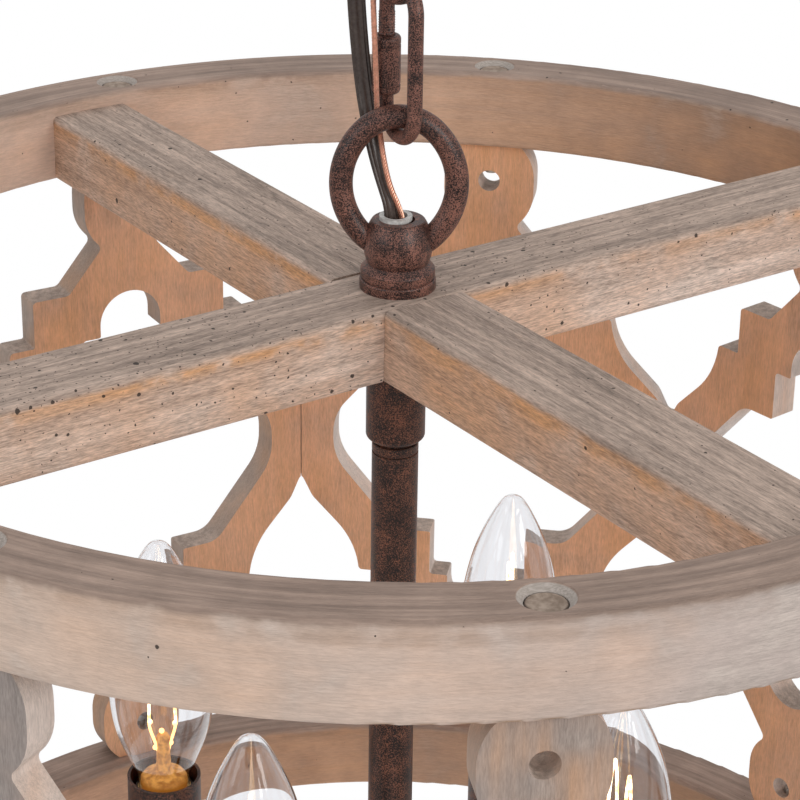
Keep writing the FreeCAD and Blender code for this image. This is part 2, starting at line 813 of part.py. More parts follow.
def bulb_base():
    low = glass_bottom - cap_length
    plug_radius = glass_neck_radius - glass_wall - free_gap
    mount_top = cap_top + mount_height
    cap = turned([
        (0, low - contact_height), (contact_radius, low - contact_height), (contact_radius, low),
        (cap_radius, low + cap_chamfer), (cap_radius, skirt_bottom), (skirt_radius, skirt_bottom),
        (skirt_radius, glass_bottom), (plug_radius, glass_bottom), (plug_radius, cap_top),
        (mount_radius, cap_top), (mount_radius, mount_top), (0, mount_top),
    ])
    foot = mount_top - filament_foot
    top = mount_top + filament_height
    points = [
        V(-mount_radius / 2, 0, foot), V(-filament_half_width, 0, top - filament_peak), V(0, 0, top),
        V(filament_half_width, 0, top - filament_peak), V(mount_radius / 2, 0, foot),
    ]
    wires = []
    for a, b in zip(points, points[1:]):
        wires.append(Part.makeCylinder(filament_radius, (b - a).Length, a, b - a))
    knots = [Part.makeSphere(filament_radius, p) for p in points[1:-1]]
    return moved(cap.fuse(wires + knots).removeSplitter(), lamp_radius, 0)


# Supply cord and ground wire

def smooth_path(points):
    # Straight runs joined by tangent arcs, each as large as its two runs allow.
    edges = []
    radii = []
    start = points[0]
    for before, corner, after in zip(points, points[1:], points[2:]):
        back = before - corner
        onward = after - corner
        reach = bend_share * min(back.Length, onward.Length)
        half = acos(max(-1.0, min(1.0, back.dot(onward) / back.Length / onward.Length))) / 2
        radius = reach * tan(half)
        inward = (V(back).normalize() + V(onward).normalize()).normalize()
        first = corner + V(back).normalize() * reach
        last = corner + V(onward).normalize() * reach
        middle = corner + inward * (radius / sin(half) - radius)
        edges.append(Part.LineSegment(start, first).toShape())
        edges.append(Part.Arc(first, middle, last).toShape())
        radii.append(radius)
        start = last
    edges.append(Part.LineSegment(start, points[-1]).toShape())
    return Part.Wire(edges), radii


def flat_section(at):
    half = (cord_width - cord_thickness) / 2
    ends = cord_thickness / 2
    corners = [at + V(half, ends, 0), at + V(half + ends, 0, 0), at + V(half, -ends, 0)]
    mirrored = [at + V(-half, -ends, 0), at + V(-half - ends, 0, 0), at + V(-half, ends, 0)]
    return Part.Wire([
        Part.Arc(*corners).toShape(), Part.LineSegment(corners[2], mirrored[0]).toShape(),
        Part.Arc(*mirrored).toShape(), Part.LineSegment(mirrored[2], corners[0]).toShape(),
    ])


def round_section(at):
    return Part.Wire(Part.makeCircle(ground_diameter / 2, at, V(0, 0, 1)))


def cord(route, name, section, area):
    points = [V(x, y, hoop_top + z) for x, y, z in route]
    path, radii = smooth_path(points)
    sweep = Part.BRepOffsetAPI.MakePipeShell(path)
    sweep.setBiNormalMode(V(0, 1, 0))
    sweep.add(section(points[0]), False, False)
    sweep.build()
    sweep.makeSolid()
    solid = sweep.shape()
    print(name, "length", round(path.Length, 1), "radii", [round(r, 1) for r in radii],
          "volume ratio", round(solid.Volume / area / path.Length, 3))
    return solid


def stretches(solid):
    high = hoop_top + upper_cut
    low = hoop_top + lower_cut
    slabs = [(high, high + cut_height), (low, high), (low - cut_height, low)]
    return [solid.common(box(cut_width, cut_width, bottom, top)) for bottom, top in slabs]


# The assembly: every node is one piece, or one group of like fasteners

nodes = {
    "top_hoop": hoop(hoop_bottom, hoop_top, hoop_top, 1).cut(dowels(slide_gap)),
    "bottom_hoop": hoop(low_hoop_bottom, low_hoop_top, low_hoop_bottom, -1),
    "cross_beam_a": beam(beam_angle, beam_bottom - 1, (beam_bottom + beam_top) / 2),
    "cross_beam_b": beam(beam_angle + quarter_turn, (beam_bottom + beam_top) / 2, beam_top + 1),
    "beam_dowels": dowels(),
    "hoop_buttons": buttons(),
    "board_screws": board_screws(),
    "hanging_loop": hanging_loop(),
    "loop_bushing": loop_bushing(),
    "threaded_rod": threaded_rod(),
    "stem_collar": stem_collar(),
    "stem_tube": stem_tube(),
    "lamp_hub": lamp_hub(),
    "hub_cap": hub_cap(),
    "hub_nut": hub_nut(),
    "finial": finial(),
    "quick_link": quick_link(),
    "quick_link_nut": barrel_nut(),
    "chain_link": link(link_length, link_pitch, link_wire, link_top, quick_turn + quarter_turn),
    "canopy": canopy(),
    "canopy_bushing": canopy_bushing(),
    "canopy_loop": canopy_loop(),
    "canopy_locknut": hexagon(locknut_across, -crossbar_thickness - locknut_height, -crossbar_thickness,
                              nipple_radius + slide_gap),
    "crossbar": crossbar(),
}
one_board = board()
for i, angle in enumerate(board_angles):
    nodes[f"fret_board_{i + 1}"] = spun(one_board, angle)
for maker in (lamp_arm, candle_sleeve, lampholder, bulb_glass, bulb_base):
    one = maker()
    for i, angle in enumerate(lamp_angles):
        nodes[f"{maker.__name__}_{i + 1}"] = spun(one, angle)

cord_area = (cord_width - cord_thickness) * cord_thickness + pi * cord_thickness ** 2 / 4
ground_area = pi * ground_diameter ** 2 / 4
for name, route, section, area in (
    ("supply_cord", cord_route, flat_section, cord_area),
    ("ground_wire", ground_route, round_section, ground_area),
):
    for place, piece in zip(("upper", "middle", "lower"), stretches(cord(route, name, section, area))):
        nodes[f"{name}_{place}"] = piece

os.makedirs("parts", exist_ok=True)
for name, shape in nodes.items():
    shape.exportStep(f"parts/{name}.step")
    print(name, "solids", len(shape.Solids), "valid", shape.isValid(), "volume", round(shape.Volume, 1))
print("hoop top", round(hoop_top, 3))
print("pivots", round(canopy_pivot_z, 3), round(link_pivot_z, 3), round(quick_pivot_z, 3))
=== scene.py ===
import math
import bpy
import bmesh
from mathutils import Matrix, Vector


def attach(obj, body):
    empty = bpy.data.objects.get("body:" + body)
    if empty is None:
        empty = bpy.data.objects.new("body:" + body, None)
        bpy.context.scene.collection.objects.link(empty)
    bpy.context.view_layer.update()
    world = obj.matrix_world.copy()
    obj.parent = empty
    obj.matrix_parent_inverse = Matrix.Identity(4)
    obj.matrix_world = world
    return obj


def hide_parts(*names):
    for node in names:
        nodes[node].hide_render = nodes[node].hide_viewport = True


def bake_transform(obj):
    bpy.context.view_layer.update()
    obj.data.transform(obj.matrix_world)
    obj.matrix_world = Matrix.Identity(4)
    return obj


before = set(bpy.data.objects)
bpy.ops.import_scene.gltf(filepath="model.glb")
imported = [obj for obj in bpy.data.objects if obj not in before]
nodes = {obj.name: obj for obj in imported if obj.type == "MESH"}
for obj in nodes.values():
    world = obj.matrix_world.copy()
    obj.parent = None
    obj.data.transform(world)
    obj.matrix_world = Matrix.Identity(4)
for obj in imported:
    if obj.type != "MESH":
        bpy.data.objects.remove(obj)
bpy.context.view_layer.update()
scene = bpy.context.scene
scene.view_settings.view_transform = "Standard"
print("frame loaded:", len(nodes), "nodes")

# Camera at the photograph's viewing angle
viewFrom = {"place": (0.0025, -0.7403, 0.1274), "turn": 0.0957, "down": 25.018, "roll": 0.883, "lens": 121.2}

cameraData = bpy.data.cameras.new("photoCamera")
cameraData.sensor_width = 36
cameraData.lens = viewFrom["lens"]
cameraData.clip_start = 0.01
camera = bpy.data.objects.new("photoCamera", cameraData)
turn = Matrix.Rotation(math.radians(viewFrom["turn"]), 4, "Z")
tilt = Matrix.Rotation(math.radians(90 - viewFrom["down"]), 4, "X")
roll = Matrix.Rotation(math.radians(viewFrom["roll"]), 4, "Z")
camera.matrix_world = Matrix.Translation(viewFrom["place"]) @ turn @ tilt @ roll
scene.collection.objects.link(camera)
scene.camera = camera
print("camera set")


# A shader socket that takes part in sums
class Wire:
    def __init__(self, tree, node, output=0):
        self.tree = tree
        self.node = node
        self.socket = node.outputs[output]

    def add(self, kind, settings, inputs, output=0):  # any node: its settings first, then its sockets
        node = self.tree.nodes.new(kind)
        for key, value in settings.items():
            setattr(node, key, value)
        for key, value in inputs.items():
            if isinstance(value, Wire):
                self.tree.links.new(value.socket, node.inputs[key])
            else:
                node.inputs[key].default_value = value
        return Wire(self.tree, node, output)

    def other(self, output):
        return Wire(self.tree, self.node, output)

    def sum(self, operation, *values):
        return self.add("ShaderNodeMath", {"operation": operation}, dict(enumerate(values)))

    def __add__(self, value):
        return self.sum("ADD", self, value)

    def __radd__(self, value):
        return self.sum("ADD", value, self)

    def __sub__(self, value):
        return self.sum("SUBTRACT", self, value)

    def __rsub__(self, value):
        return self.sum("SUBTRACT", value, self)

    def __mul__(self, value):
        return self.sum("MULTIPLY", self, value)

    def __rmul__(self, value):
        return self.sum("MULTIPLY", value, self)

    def __truediv__(self, value):
        return self.sum("DIVIDE", self, value)

    def root(self):
        return self.sum("SQRT", self)

    def size(self):
        return self.sum("ABSOLUTE", self)

    def larger(self, value):
        return self.sum("MAXIMUM", self, value)

    def step(self, low, high):  # 0 below low, 1 above high, smooth between
        return self.add("ShaderNodeMapRange", {"interpolation_type": "SMOOTHSTEP"},
                        {"Value": self, "From Min": low, "From Max": high})

    def split(self):
        x = self.add("ShaderNodeSeparateXYZ", {}, {"Vector": self}, "X")
        return x, x.other("Y"), x.other("Z")

    def join(self, x, y, z):
        return self.add("ShaderNodeCombineXYZ", {}, {"X": x, "Y": y, "Z": z})

    def between(self, low, high):  # from one colour to the other by this share
        low = low if isinstance(low, Wire) else (*low, 1)
        high = high if isinstance(high, Wire) else (*high, 1)
        return self.add("ShaderNodeMix", {"data_type": "RGBA"}, {0: self, 6: low, 7: high}, 2)

    def shade(self, factor):  # this colour, lighter or darker
        return self.add("ShaderNodeVectorMath", {"operation": "SCALE"}, {0: self, "Scale": factor})

    def noise(self, scale, detail=4.0, rough=0.55, w=0.0):
        return self.add("ShaderNodeTexNoise", {"noise_dimensions": "4D"},
                        {"Vector": self, "W": w, "Scale": scale, "Detail": detail, "Roughness": rough})

    def cells(self, scale):  # distance to the nearest scattered point, with a random colour for each
        return self.add("ShaderNodeTexVoronoi", {"feature": "F1"}, {"Vector": self, "Scale": scale})

    def bump(self, strength, distance):
        return self.add("ShaderNodeBump", {}, {"Height": self, "Strength": strength, "Distance": distance})


def newMaterial(name):
    material = bpy.data.materials.new(name)
    material.use_nodes = True
    tree = material.node_tree
    shader = tree.nodes["Principled BSDF"]
    place = Wire(tree, tree.nodes.new("ShaderNodeTexCoord"), "Object")
    return material, shader, place


def feed(shader, values):
    for key, value in values.items():
        if isinstance(value, Wire):
            value.tree.links.new(value.socket, shader.inputs[key])
        else:
            shader.inputs[key].default_value = value


def dress(names, material):
    for name in names:
        mesh = nodes[name].data
        mesh.materials.clear()
        mesh.materials.append(material)


# Weathered wood: grain along the piece, grey tops, pale wash and orange wear on the sides, worm holes
# (outer, inner and edge are pairs of colours, from the left of the drum to its right; the change from one
# colour to the other is painted light and shade, paler on the lit side)
topHoopWood = {
    "grain": "round", "level": -0.1755, "top": (0.355, 0.258, 0.21), "wear": (0.29, 0.185, 0.125),
    "outer": ((0.75, 0.565, 0.45), (0.50, 0.43, 0.405)),
    "inner": ((0.74, 0.55, 0.45), (0.37, 0.22, 0.138)),
    "edge": ((0.45, 0.31, 0.22), (0.40, 0.27, 0.19)),
    "wash": 0.6, "warm": 0.3, "rubbed": 0.6, "holes": 0.04, "lines": 0.36, "patches": 0.6}
lowHoopWood = dict(
    topHoopWood, level=-0.4515, inner=((0.62, 0.375, 0.255), (0.38, 0.235, 0.155)), wash=0.3)
beamWoodA = {
    "grain": 35.1, "level": -0.1805, "top": (0.45, 0.345, 0.285), "wear": (0.60, 0.31, 0.13),
    "outer": ((0.66, 0.485, 0.38), (0.80, 0.66, 0.58)),
    "edge": ((0.56, 0.385, 0.285), (0.66, 0.50, 0.41)),
    "wash": 0.95, "warm": 0.5, "rubbed": 0.9, "holes": 0.85, "lines": 1.25, "patches": 0.4}
beamWoodB = dict(
    beamWoodA, grain=125.1, holes=0.3, wash=0.75, warm=0.65,
    outer=((0.60, 0.41, 0.30), (0.70, 0.50, 0.385)), edge=((0.51, 0.335, 0.235), (0.60, 0.41, 0.30)))
# Boards: the warm orange inside is partly the wood's stain and partly a painted glow from the bulbs; the
# edge pair is painted light, paler on edges turned to the right
boardWood = {
    "grain": "upright", "level": 0.0, "top": (0.46, 0.37, 0.315), "wear": (0.60, 0.31, 0.13),
    "outer": ((0.36, 0.305, 0.28), (0.36, 0.305, 0.28)),
    "inner": ((0.82, 0.475, 0.305), (0.80, 0.445, 0.27)),
    "edge": ((0.46, 0.37, 0.315), (0.86, 0.75, 0.69)),
    "wash": 0.3, "warm": 0.55, "rubbed": 0.0, "holes": 0.0, "lines": 0.55, "patches": 0.7}
woodTint = {
    "orange": (0.56, 0.27, 0.105), "chalk": (0.78, 0.68, 0.61), "hole": (0.028, 0.02, 0.017),
    "sunk": ((0.40, 0.35, 0.31), (0.54, 0.48, 0.44))}
# Scale, detail and roughness of each noise in the wood
woodNoise = {
    "drift": (15, 3, 0.55), "blotch": (60, 4, 0.6), "bands": (130, 4, 0.6), "streaks": (420, 4, 0.65),
    "hairs": (1500, 3, 0.7), "fibres": (2700, 2, 0.6)}
# Crowding, least radius and spread of radius of each size of worm hole
wormHoles = [(170.0, 0.04, 0.13), (330.0, 0.06, 0.16), (800.0, 0.10, 0.2)]
# The hoops' faces and countersinks, for the looks that go by place
hoop = {
    "outside": 0.21, "inside": 0.19, "middle": 0.2, "round": 0.0016, "soft": 0.0013,
    "sinkReach": (0.0078, 0.0074), "sinkTop": (0.0002, 0.0005), "sinkFloor": 0.0045}


def woodMaterial(name, look):
    material, shader, place = newMaterial(name)
    x, y, z = place.split()
    reach = (x * x + y * y).root()
    w = 0.0
    if look["grain"] == "round":
        grain, fine = [place.join(x * pull, y * pull, z) for pull in (0.04, 0.13)]
        w = reach
    elif look["grain"] == "upright":
        grain, fine = [place.join(x, y, z * pull) for pull in (0.05, 0.13)]
    else:
        back = (0, 0, -math.radians(look["grain"]))
        turned = place.add("ShaderNodeMapping", {}, {"Vector": place, "Rotation": back})
        along, aside, up = turned.split()
        grain, fine = [place.join(along * pull, aside, up) for pull in (0.045, 0.13)]
    drift = place.noise(*woodNoise["drift"])
    blotch = place.noise(*woodNoise["blotch"])
    bands = grain.noise(*woodNoise["bands"], w).step(0.3, 0.7)
    streaks = grain.noise(*woodNoise["streaks"], w).step(0.3, 0.7)
    hairs = fine.noise(*woodNoise["hairs"], w).step(0.32, 0.68)
    fibres = fine.noise(*woodNoise["fibres"], w).step(0.35, 0.65)
    ragged = (bands - 0.5) * 0.001 + (blotch - 0.5) * 0.004
    # Which face of the piece this is: by its place on hoops and beams, by its direction on boards
    across = x.step(-hoop["inside"], hoop["inside"])
    if look["grain"] == "upright":
        nx, ny, nz = place.other("Normal").split()
        outward = (x * nx + y * ny) / reach
        outer = outward.step(0.45, 0.75)
        inner = (0 - outward).step(0.45, 0.75)
        top = nz.step(0.6, 0.9)
        # painted light: board edges further right and turned to the right are paler, and those turned to the
        # left darker, as if lit from the right
        facing = (x * 3.2 + nx * 0.45 + 0.5).step(0.0, 1.0)
    else:
        shell = hoop["outside"] - hoop["round"]
        bore = hoop["inside"] + hoop["round"]
        outer = (reach + ragged * 0.2).step(shell, shell + hoop["soft"])
        inner = (bore - reach + ragged * 0.2).step(0.0, hoop["soft"])
        top = (z + ragged).step(look["level"] - 0.0027, look["level"] - 0.0004)
        facing = across
    # Painted light and shade: each face's colour shifts from one colour of its pair to the other across the
    # drum, from left to right
    outerPaintedLight = across.between(*look["outer"])
    edgePaintedLight = facing.between(*look["edge"])
    if "inner" in look:
        innerPaintedLight = across.between(*look["inner"])
        colour = inner.between(outer.between(edgePaintedLight, outerPaintedLight), innerPaintedLight)
    else:
        colour = bands.between(edgePaintedLight, outerPaintedLight)
    warm = drift.step(0.46, 0.62) * (0.4 + bands * 0.6) * look["warm"]
    colour = warm.between(colour, woodTint["orange"])
    bare = (drift * 0.5 + blotch * 0.5).step(0.5, 0.36)
    wash = bare * (0.25 + streaks * 0.4 + fibres * 0.35) * look["wash"]
    colour = (wash * (1 - inner * 0.5)).between(colour, woodTint["chalk"])
    arris = (z + ragged).step(look["level"] - 0.008, look["level"] - 0.0035)
    rubbed = arris * (0.2 + bands * 0.8) * look["rubbed"]
    colour = (rubbed * blotch.step(0.38, 0.56)).between(colour, look["wear"])
    grey = streaks.between([c * 0.8 for c in look["top"]], [c * 1.22 for c in look["top"]])
    colour = top.between(colour, grey)
    tone = 1 - look["lines"] * (0.46 - bands * 0.14 - streaks * 0.2 - hairs * 0.3 - fibres * 0.28)
    colour = colour.shade(tone + (blotch + drift - 1) * look["patches"])
    if look["grain"] == "round":  # the countersinks round the buttons are pale
        away = (reach - hoop["middle"]).size().step(*hoop["sinkReach"])
        sunk = (look["level"] - z).step(*hoop["sinkTop"])
        sunk = sunk * (z - look["level"] + hoop["sinkFloor"]).step(0.0, 0.0003)
        colour = (sunk * away).between(colour, fibres.between(*woodTint["sunk"]))
    # Worm holes, crowded in places
    shaken = place.add("ShaderNodeVectorMath", {"operation": "MULTIPLY_ADD"},
                       {0: place.noise(500, 2).other("Color"), 1: (0.0012, 0.0012, 0.0012), 2: place})
    crowd = place.noise(20, 2).step(0.3, 0.6) * (0.4 + top * 0.6) * (1 - across * 0.7) * look["holes"]
    holes = None
    for scale, least, spread in wormHoles:
        pit = shaken.cells(scale)
        pick, size = pit.other("Color").split()[:2]
        radius = (least + size * spread) * pick.sum("GREATER_THAN", pick, 1 - crowd * 0.8)
        hole = (radius - pit).step(0.0, 0.035)
        holes = holes.larger(hole) if holes else hole
    colour = (holes * 0.9).between(colour, woodTint["hole"])
    height = hairs * 0.5 + streaks * 0.4 + fibres * 0.4 - holes * 1.5
    feed(shader, {"Base Color": colour, "Roughness": 0.6 + hairs * 0.15, "Specular IOR Level": 0.3,
                  "Normal": height.bump(0.35, 0.0006)})
    return material


# Iron painted dark, with a dense rust-red speckle
ironLook = {
    "dark": (0.006, 0.005, 0.006), "rust": (0.31, 0.137, 0.10), "deep": (0.10, 0.043, 0.033),
    "cover": 0.485}
stemLook = {
    "dark": (0.006, 0.005, 0.005), "rust": (0.30, 0.12, 0.07), "deep": (0.085, 0.035, 0.024),
    "cover": 0.51}
ironNoise = {"patch": (170, 3, 0.6), "speck": (2500, 3, 0.65), "dust": (3600, 2, 0.6)}


def ironMaterial(name, look):
    material, shader, place = newMaterial(name)
    patch, speck, dust = [place.noise(*ironNoise[kind]) for kind in ("patch", "speck", "dust")]
    cover = (speck + (patch - 0.5) * 0.22).step(look["cover"] - 0.03, look["cover"] + 0.05)
    rust = (dust * 0.7 + patch * 0.3).step(0.4, 0.58).between(look["deep"], look["rust"])
    colour = cover.between(look["dark"], rust)
    feed(shader, {"Base Color": colour, "Roughness": 0.3 + cover * 0.2, "Specular IOR Level": 0.45,
                  "Normal": (speck * 0.5 + patch * 0.4).bump(0.3, 0.0004)})
    return material


def plainMaterial(name, colour, rough, metal=0.0):
    material, shader, place = newMaterial(name)
    speck = place.noise(900.0, 4, 0.6)
    dark = [c * 0.78 for c in colour]
    pale = [min(1.0, c * 1.18) for c in colour]
    feed(shader, {"Base Color": speck.step(0.3, 0.7).between(dark, pale), "Metallic": metal,
                  "Roughness": rough * (0.8 + speck * 0.4), "Normal": speck.bump(0.1, 0.0003)})
    return material


def glassMaterial(name):
    material, shader, place = newMaterial(name)
    smear = place.noise(60, 2)
    feed(shader, {"Base Color": (0.93, 0.93, 0.945, 1), "Roughness": smear.step(0.5, 0.8) * 0.02, "IOR": 1.4,
                  "Transmission Weight": 1.0})
    return material


def glowMaterial(name, low, high, strength, level, fade):  # dim below its level, and uneven; the dim glow on the filament's lead wires below the level is a painted glint
    material, shader, place = newMaterial(name)
    height = place.split()[2]
    flow = place.noise(500, 2).step(0.35, 0.65) * height.step(level - fade, level)
    feed(shader, {"Base Color": (0.3, 0.14, 0.05, 1), "Roughness": 0.5, "Emission Strength": strength,
                  "Emission Color": flow.between(low, high)})
    return material


# Wooden buttons: brown in the middle, darker round the rim
def buttonMaterial(name):
    material, shader, place = newMaterial(name)
    upward = place.other("Normal").split()[2]
    fleck = place.noise(420, 4, 0.6).step(0.3, 0.7)
    middle = fleck.between((0.24, 0.175, 0.13), (0.47, 0.37, 0.30))
    rim = 1 - (upward * upward).step(0.5, 0.9)
    feed(shader, {"Base Color": (rim * 0.8).between(middle, (0.12, 0.09, 0.075)),
                  "Roughness": 0.55 + fleck * 0.15, "Specular IOR Level": 0.35,
                  "Normal": fleck.bump(0.25, 0.0004)})
    return material


topHoopMaterial = woodMaterial("topHoopWood", topHoopWood)
lowHoopMaterial = woodMaterial("lowHoopWood", lowHoopWood)
beamMaterialA = woodMaterial("beamWoodA", beamWoodA)
beamMaterialB = woodMaterial("beamWoodB", beamWoodB)
boardMaterial = woodMaterial("boardWood", boardWood)
buttonWood = buttonMaterial("buttonWood")
iron = ironMaterial("speckledIron", ironLook)
stemIron = ironMaterial("stemIron", stemLook)
steel = plainMaterial("zincSteel", (0.55, 0.55, 0.53), 0.35, 1.0)
brass = plainMaterial("capBrass", (0.72, 0.50, 0.2), 0.3, 1.0)
holderPlastic = plainMaterial("holderPlastic", (0.03, 0.027, 0.025), 0.5)
bushingPlastic = plainMaterial("bushingPlastic", (0.62, 0.61, 0.59), 0.4)
cordSkin = plainMaterial("cordSkin", (0.085, 0.062, 0.053), 0.25)
copper = plainMaterial("copperStrand", (0.90, 0.47, 0.34), 0.3, 0.85)
dowelWood = plainMaterial("dowelWood", (0.55, 0.4, 0.25), 0.6)
clearGlass = glassMaterial("bulbGlass")
# the filament's lead wires, below the level, glow golden: a painted glint
filamentGlow = glowMaterial("filamentGlow", (0.72, 0.38, 0.13), (1.0, 0.86, 0.62), 4.5, -0.355, 0.006)
# the glass stem in the foot of each bulb glows amber: painted light of the filament shining on it
paintedStemGlow = glowMaterial("paintedStemGlow", (0.40, 0.13, 0.012), (1.0, 0.47, 0.09), 0.65, -0.378, 0.004)

fourLamps = (1, 2, 3, 4)
dress(["top_hoop"], topHoopMaterial)
dress(["bottom_hoop"], lowHoopMaterial)
dress(["hoop_buttons"], buttonWood)
dress(["cross_beam_a"], beamMaterialA)
dress(["cross_beam_b"], beamMaterialB)
dress([f"fret_board_{i}" for i in range(1, 10)], boardMaterial)
dress(["hanging_loop", "quick_link", "quick_link_nut", "chain_link", "canopy", "canopy_loop"], iron)
dress(["stem_collar", "stem_tube", "lamp_hub", "hub_cap", "finial"], stemIron)
dress([f"{part}_{i}" for part in ("lamp_arm", "candle_sleeve") for i in fourLamps], stemIron)
dress(["board_screws", "canopy_locknut", "crossbar", "hub_nut", "threaded_rod"], steel)
dress([f"lampholder_{i}" for i in fourLamps], holderPlastic)
dress(["loop_bushing", "canopy_bushing"], bushingPlastic)
dress(["beam_dowels"], dowelWood)
print("materials made")


def finished(bm, name, material, body, sharp=40):  # a bmesh made into a piece that rides on a body
    bmesh.ops.recalc_face_normals(bm, faces=bm.faces)
    mesh = bpy.data.meshes.new(name)
    bm.to_mesh(mesh)
    bm.free()
    mesh.materials.append(material)
    mesh.shade_smooth()
    mesh.set_sharp_from_angle(angle=math.radians(sharp))
    piece = bpy.data.objects.new(name, mesh)
    scene.collection.objects.link(piece)
    if body:
        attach(piece, body)
    return piece


# Supply cord and ground wire, each one line in three stretches that bend at the links
supplyCord = {
    "width": 0.0044, "thick": 0.0026, "ribs": 13, "rib": 0.12, "steps": 18, "spread": 0.22,
    "widens": (-0.15, -0.125),
    "route": [
        (-0.0155, 0.0160, -0.0175), (-0.0155, 0.0160, -0.0355), (-0.0149, 0.0158, -0.0545),
        (-0.0142, 0.0152, -0.0745), (-0.0134, 0.0140, -0.0945), (-0.0120, 0.0126, -0.1115),
        (-0.0100, 0.0098, -0.1265), (-0.0074, 0.0053, -0.1390), (-0.0046, 0.0020, -0.1485),
        (-0.0019, 0.0000, -0.1560), (-0.0018, 0.0000, -0.1655), (-0.0018, 0.0000, -0.1775)]}
groundWire = {
    "width": 0.0017, "strands": 5, "strand": 0.34, "pitch": 0.0046, "steps": 40,
    "route": [
        (-0.0110, 0.0190, -0.0175), (-0.0110, 0.0190, -0.0345), (-0.0100, 0.0162, -0.0535),
        (-0.0089, 0.0106, -0.0735), (-0.0083, 0.0050, -0.0915), (-0.0076, 0.0026, -0.1055),
        (-0.0070, 0.0020, -0.1175), (-0.0068, 0.0045, -0.1275), (-0.0058, 0.0046, -0.1340),
        (-0.0046, 0.0016, -0.1415), (-0.0026, -0.0014, -0.1490), (0.0002, -0.0019, -0.1550),
        (0.0013, -0.0006, -0.1600), (0.0013, 0.0000, -0.1675), (0.0015, 0.0000, -0.1775)]}
# Each stretch runs from one body to the next, between two heights
stretches = [("upper", "ceiling_fitting", "chain_link", -0.0175, -0.0715),
             ("middle", "chain_link", "quick_link", -0.0715, -0.1135),
             ("lower", "quick_link", "drum", -0.1135, -0.1775)]


def routeLine(name, route, steps):  # points along the smooth line of a route
    data = bpy.data.curves.new(name, "CURVE")
    data.dimensions = "3D"
    data.resolution_u = steps
    spline = data.splines.new("NURBS")
    spline.points.add(len(route) - 1)
    for point, place in zip(spline.points, route):
        point.co = (*place, 1)
    spline.order_u = 3
    spline.use_endpoint_u = True
    holder = bpy.data.objects.new(name, data)  # only here to turn the curve into points
    scene.collection.objects.link(holder)
    bpy.context.view_layer.update()
    mesh = bpy.data.meshes.new_from_object(holder)
    line = [v.co.copy() for v in mesh.vertices]
    bpy.data.objects.remove(holder)
    bpy.data.curves.remove(data)
    bpy.data.meshes.remove(mesh)
    return line


def directions(line):
    ahead = line[1:] + [line[-1] * 2 - line[-2]]
    behind = [line[0] * 2 - line[1]] + line[:-1]
    return [(b - a).normalized() for a, b in zip(behind, ahead)]


def sweep(bm, section, line, widths=None):  # a section carried along a line, ring by ring
    start = Vector((0, 0, -1))
    ring = [bm.verts.new((x, y, 0)) for x, y in section]
    edges = [bm.edges.new((ring[i - 1], ring[i])) for i in range(len(ring))]
    place = Matrix.Identity(4)
    ends = []
    for i, (point, facing) in enumerate(zip(line, directions(line))):
        if i:
            grown = bmesh.ops.extrude_edge_only(bm, edges=edges)["geom"]
            ring = [g for g in grown if isinstance(g, bmesh.types.BMVert)]
            edges = [g for g in grown if isinstance(g, bmesh.types.BMEdge)]
            edges = [e for e in edges if all(v in ring for v in e.verts)]
        following = Matrix.Translation(point) @ start.rotation_difference(facing).to_matrix().to_4x4()
        if widths:
            following = following @ Matrix.Diagonal((widths[i], 1, 1, 1))
        bmesh.ops.transform(bm, matrix=following @ place.inverted(), verts=ring)
        place = following
        if i in (0, len(line) - 1):
            ends += edges
    bmesh.ops.holes_fill(bm, edges=ends)


def ribbedSection(spec):  # a flat cord, ribbed along its length
    points = []
    count = spec["ribs"] * 6
    half = (spec["width"] - spec["thick"]) / 2
    for i in range(count):
        turn = 2 * math.pi * i / count
        rib = 1 - spec["rib"] * (1 + math.cos(turn * spec["ribs"]))
        x, y = math.cos(turn) * spec["thick"] / 2 * rib, math.sin(turn) * spec["thick"] / 2 * rib
        points.append((x + half * math.tanh(3 * math.cos(turn)), y))
    return points


def roundSection(radius, sides):
    turns = [2 * math.pi * i / sides for i in range(sides)]
    return [(radius * math.cos(turn), radius * math.sin(turn)) for turn in turns]


def stretchOf(line, high, low):  # the points between two heights, with a cut point at each
    near = 1e-6
    kept = [p for p in line if low - near <= p.z <= high + near]
    for a, b in zip(line, line[1:]):
        for level, first in ((high, True), (low, False)):
            if a.z > level + near > b.z + 2 * near and level not in (line[0].z, line[-1].z):
                cut = a.lerp(b, (a.z - level) / (a.z - b.z))
                kept.insert(0 if first else len(kept), cut)
    return kept


def cordPieces(label, node, spec, material, build):
    line = routeLine(label, spec["route"], spec["steps"])
    for part, bodyA, bodyB, high, low in stretches:
        path = stretchOf(line, high, low)
        bm = bmesh.new()
        build(bm, path, spec)
        piece = finished(bm, f"{label}_{part}", material, None)
        length = sum((b - a).length for a, b in zip(path, path[1:]))
        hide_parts(f"{node}_{part}")
        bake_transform(piece)
        print(piece.name, "length", round(length, 4))


def buildSupply(bm, path, spec):  # seen flat at the top, narrower where it goes into the bushing
    low, high = spec["widens"]
    widths = [1 + spec["spread"] * min(1, max(0, (p.z - low) / (high - low))) for p in path]
    sweep(bm, ribbedSection(spec), path, widths)


def buildGround(bm, path, spec):
    gone = 0.0
    strands = [[] for i in range(spec["strands"])]
    radius = spec["width"] / 2
    last = path[0]
    for point, facing in zip(path, directions(path)):
        gone += (point - last).length
        last = point
        side = facing.orthogonal().normalized()
        for i, strand in enumerate(strands):
            twist = 2 * math.pi * (i / len(strands) + gone / spec["pitch"])
            strand.append(point + Matrix.Rotation(twist, 3, facing) @ side * radius * (1 - spec["strand"]))
    for strand in strands:
        sweep(bm, roundSection(radius * spec["strand"], 8), strand)


cordPieces("supplyCord", "supply_cord", supplyCord, cordSkin, buildSupply)
cordPieces("groundWire", "ground_wire", groundWire, copper, buildGround)
print("cords laid")
